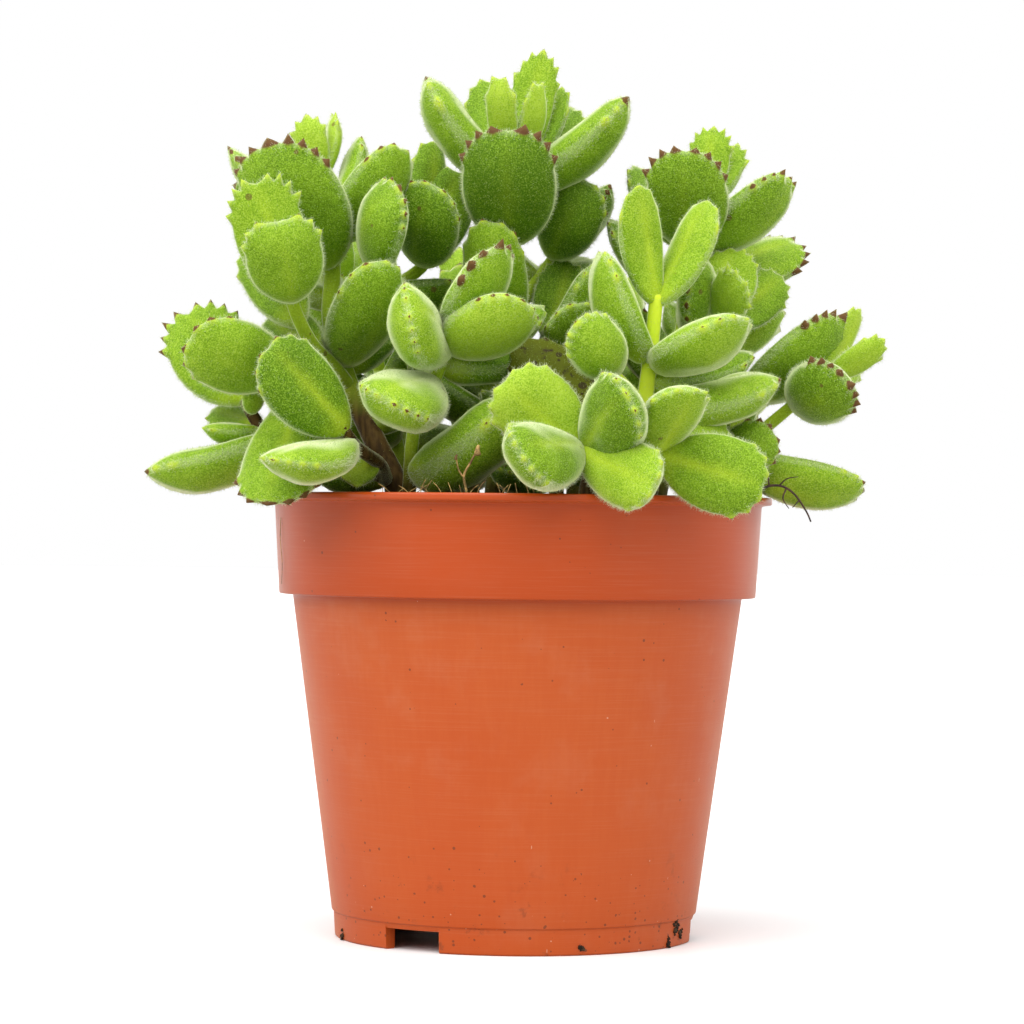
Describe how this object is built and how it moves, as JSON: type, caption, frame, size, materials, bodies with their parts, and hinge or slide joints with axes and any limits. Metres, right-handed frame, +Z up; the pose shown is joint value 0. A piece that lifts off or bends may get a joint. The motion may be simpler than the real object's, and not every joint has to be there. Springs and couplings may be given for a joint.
{
  "type": "potted succulent plant",
  "caption": "Bears paw succulent with plump, hairy, tooth-edged leaves on branching stems, growing in a terracotta-coloured plastic grower pot.",
  "frame": {"origin": "centre of the pot's foot, on the surface that the pot stands on", "axes": "+Z up along the pot's axis, -Y towards the front, +X to the front view's right"},
  "size_m": [0.1506, 0.1351, 0.1845],
  "materials": {
    "pot_plastic": "smooth moulded terracotta-coloured plastic, slightly glossy, with fine scratches and specks of soil",
    "potting_soil": "dark, loose, fibrous peat soil",
    "foliage": "plump green leaves with short white hairs and brown-purple teeth, on green and woody stems"
  },
  "bodies": {
    "root": {"pot": "pot_plastic", "soil": "potting_soil", "plant_centre_tall": "foliage", "plant_centre_front": "foliage", "plant_left_tall": "foliage", "plant_middle": "foliage", "plant_right_front": "foliage", "plant_right_tall": "foliage", "plant_right_far": "foliage", "plant_right_low": "foliage", "plant_rear_left": "foliage", "plant_rear_middle_left": "foliage", "plant_rear_middle_right": "foliage", "plant_rear_right": "foliage"}
  },
  "joints": []
}
